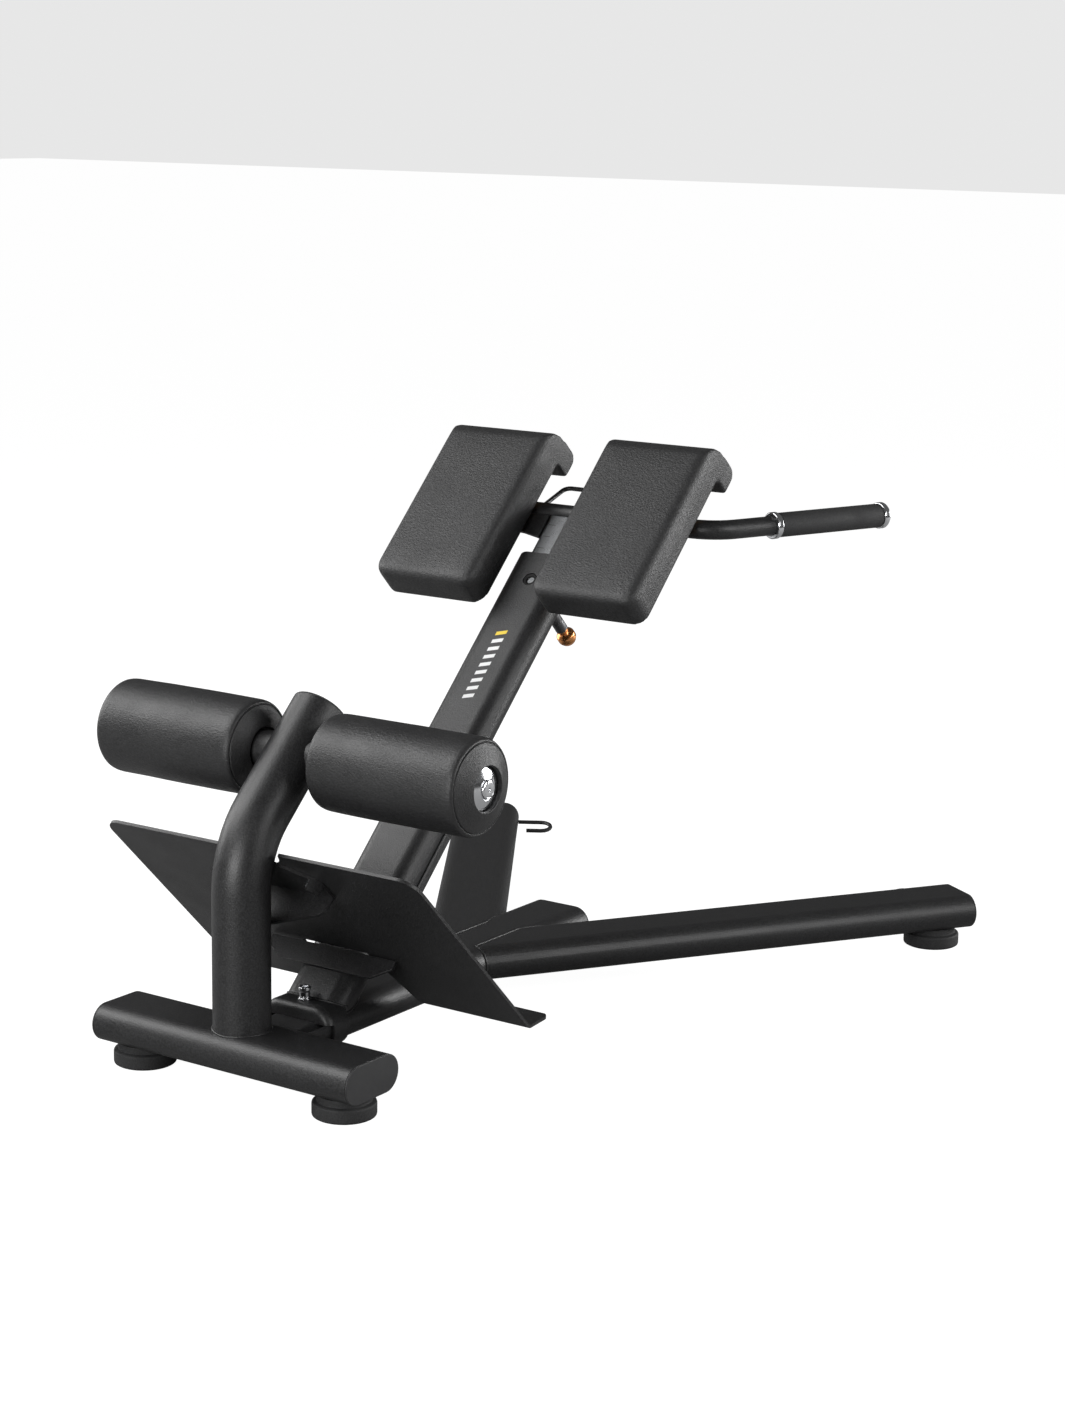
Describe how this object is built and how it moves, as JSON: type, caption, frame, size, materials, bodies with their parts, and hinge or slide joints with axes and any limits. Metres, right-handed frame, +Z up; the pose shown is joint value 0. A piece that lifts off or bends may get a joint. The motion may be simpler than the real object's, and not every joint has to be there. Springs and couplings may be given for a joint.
{
  "type": "roman chair",
  "caption": "Inclined back extension bench with ankle rollers, an angled foot plate, and split thigh pads on a pin-locked sliding carriage with hand grips.",
  "frame": {"origin": "on the floor, under the middle of the part's bounding box", "axes": "+Z up, +Y from the ankle rollers towards the hand grips, +X to the user's right when lying face down on the pads"},
  "size_m": [1.1628, 1.4866, 0.9229],
  "materials": {
    "powder_coat": "fine-texture black powder coat, satin",
    "cap_plastic": "moulded black, fine matte",
    "rubber": "matte black",
    "roller_foam": "black integral-skin foam with a fine leather grain",
    "pad_leather": "black synthetic leather with a fine pebble grain",
    "chrome": "polished",
    "steel": "zinc plated, satin",
    "copper_knob": "orange-copper anodised, polished",
    "nylon": "moulded, matte",
    "plywood": "bare plywood"
  },
  "bodies": {
    "frame": {"front_crossbar": "powder_coat", "base_rail": "powder_coat", "rail_collar": "powder_coat", "rail_nose": "powder_coat", "rail_tongue": "powder_coat", "front_post": "powder_coat", "roller_cross_tube": "powder_coat", "foot_plate": "powder_coat", "foot_plate_bracket": "powder_coat", "foot_plate_strap": "powder_coat", "main_post": "powder_coat", "post_doubler": "powder_coat", "rear_leg_right": "powder_coat", "rear_leg_left": "powder_coat", "leg_hook_right": "powder_coat", "leg_hook_left": "powder_coat", "base_rail_cap": "cap_plastic", "front_post_cap": "cap_plastic", "crossbar_cap_right": "cap_plastic", "crossbar_cap_left": "cap_plastic", "rear_leg_cap_right": "cap_plastic", "rear_leg_cap_left": "cap_plastic", "front_foot_right": "rubber", "front_foot_left": "rubber", "rear_foot_right": "rubber", "rear_foot_left": "rubber", "rail_bolt": "chrome", "roller_end_disc_right": "chrome", "roller_end_disc_left": "chrome", "roller_axle": "steel", "pop_pin_barrel": "steel", "pop_pin_spring": "steel", "foot_plate_bolt_right": "steel", "foot_plate_bolt_left": "steel", "post_guide_right": "nylon", "post_guide_left": "nylon"},
    "carriage": {"slide_bar": "steel", "handlebar": "powder_coat", "rear_loop": "powder_coat", "hand_grip_right": "rubber", "hand_grip_left": "rubber", "grip_collar_right": "chrome", "grip_collar_left": "chrome", "grip_end_cap_right": "chrome", "grip_end_cap_left": "chrome", "pad_wing_right": "powder_coat", "pad_wing_left": "powder_coat", "pad_rail_right": "powder_coat", "pad_rail_left": "powder_coat", "thigh_pad_right": "pad_leather", "thigh_pad_left": "pad_leather", "pad_board_right": "plywood", "pad_board_left": "plywood"},
    "pop_pin": {"pop_pin_plunger": "steel", "pop_pin_knob": "copper_knob"},
    "roller_right": {"ankle_roller_right": "roller_foam", "roller_core_right": "nylon"},
    "roller_left": {"ankle_roller_left": "roller_foam", "roller_core_left": "nylon"}
  },
  "joints": [
    {"name": "carriage_slide", "type": "slide", "parent": "frame", "child": "carriage", "axis": [0, 0.7102, 0.704], "range_m": [-0.025, 0.125]},
    {"name": "pop_pin_pull", "type": "slide", "parent": "frame", "child": "pop_pin", "axis": [0, 0.704, -0.7102], "range_m": [0, 0.012], "stiffness_N_per_m": 900, "springref_m": -0.01, "deforming": ["pop_pin_spring"]},
    {"name": "roller_right_spin", "type": "hinge", "parent": "frame", "child": "roller_right", "pos_m": [0.2125, -0.5468, 0.5009], "axis": [1, 0, 0], "continuous": true},
    {"name": "roller_left_spin", "type": "hinge", "parent": "frame", "child": "roller_left", "pos_m": [-0.2125, -0.5468, 0.5009], "axis": [1, 0, 0], "continuous": true}
  ]
}
